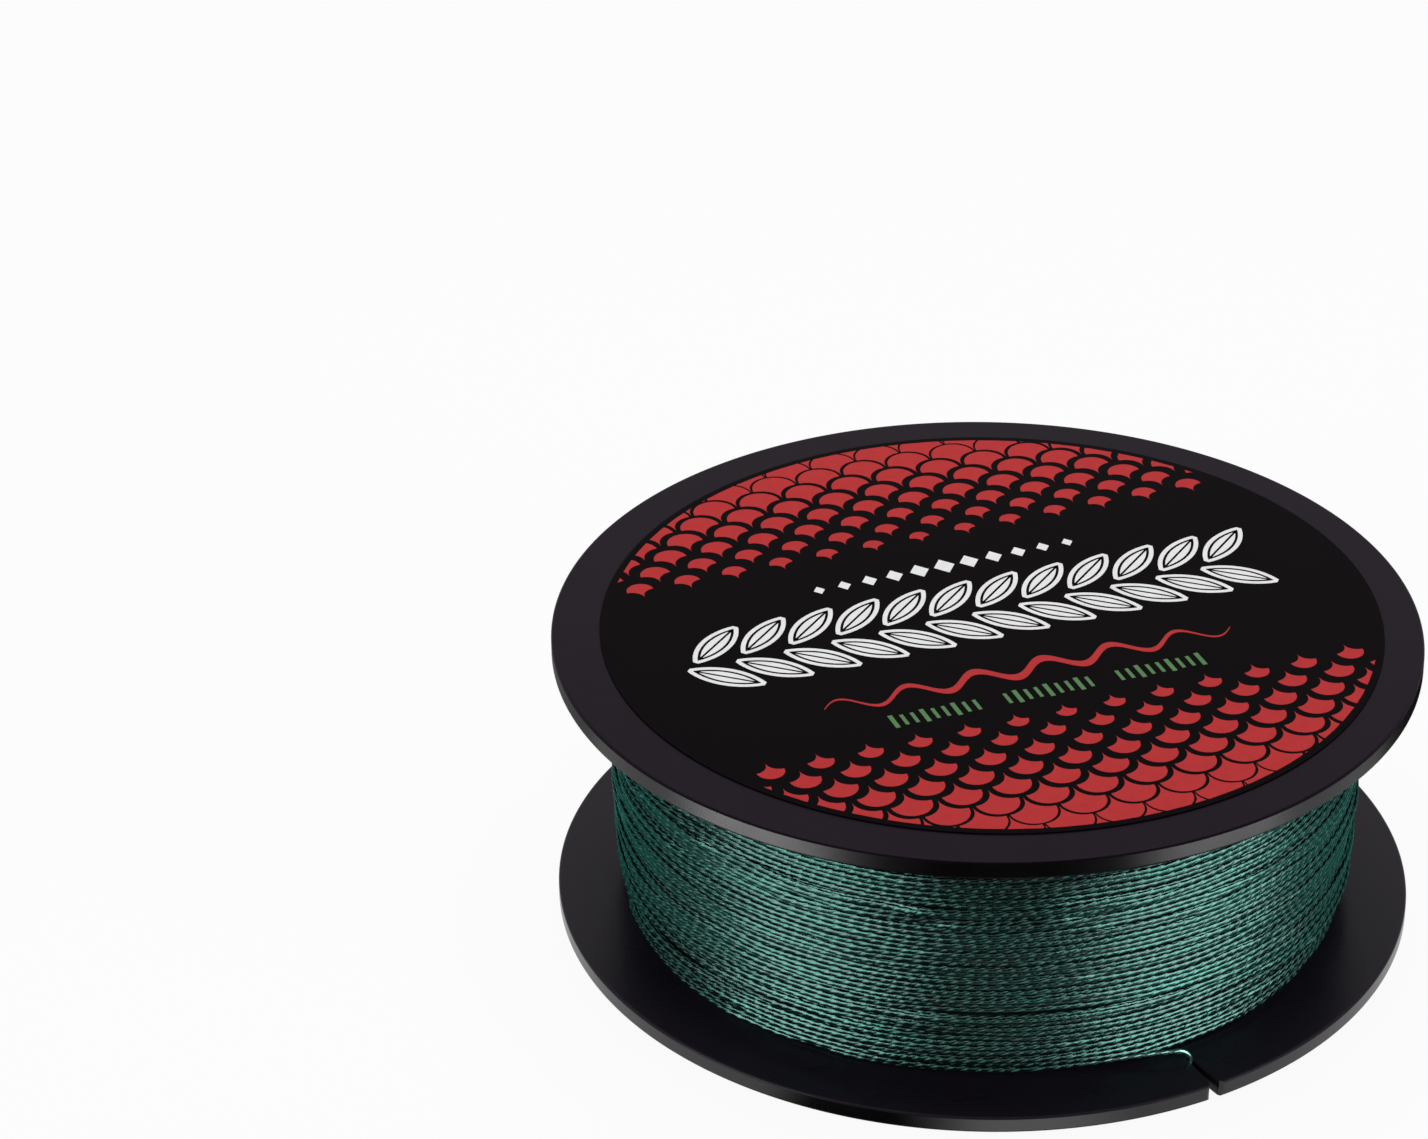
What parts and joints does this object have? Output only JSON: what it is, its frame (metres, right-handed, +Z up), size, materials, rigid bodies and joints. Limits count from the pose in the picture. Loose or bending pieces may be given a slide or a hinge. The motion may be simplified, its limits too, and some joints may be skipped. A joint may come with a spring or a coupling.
{
  "type": "fishing line spool",
  "caption": "Flanged black spool wound with green braided fishing line, with a round front label, a spindle bore and a rim slit that holds the line's end.",
  "frame": {"origin": "centre of the underside, on the spool's axis, at the level of the surface that the lower flange rests on", "axes": "+Z runs up the spool's axis, from the lower flange to the labelled upper flange; +X is to the right when the label is read, and -Y is towards the reader. The slit in the lower flange lies 62 degrees clockwise from +X, seen from above"},
  "size_m": [0.092, 0.092, 0.0326],
  "materials": {
    "flange_plastic": "semi-gloss black moulded polystyrene",
    "drum_plastic": "plain black moulded plastic",
    "tape_paper": "creped masking tape",
    "line_braid": "tight green polyethylene braid with a low sheen",
    "label_print": "black ground printed with red, white and green, under a thin satin film",
    "back_label_print": "black ground with a red ring, under a thin satin film"
  },
  "bodies": {
    "root": {"lower_flange": "flange_plastic", "upper_flange": "flange_plastic", "drum": "drum_plastic", "spindle_tube": "drum_plastic", "anchor_tape": "tape_paper", "line_core": "line_braid", "line_outer_layer": "line_braid", "line_tail": "line_braid", "front_label": "label_print", "back_label": "back_label_print"}
  },
  "joints": []
}
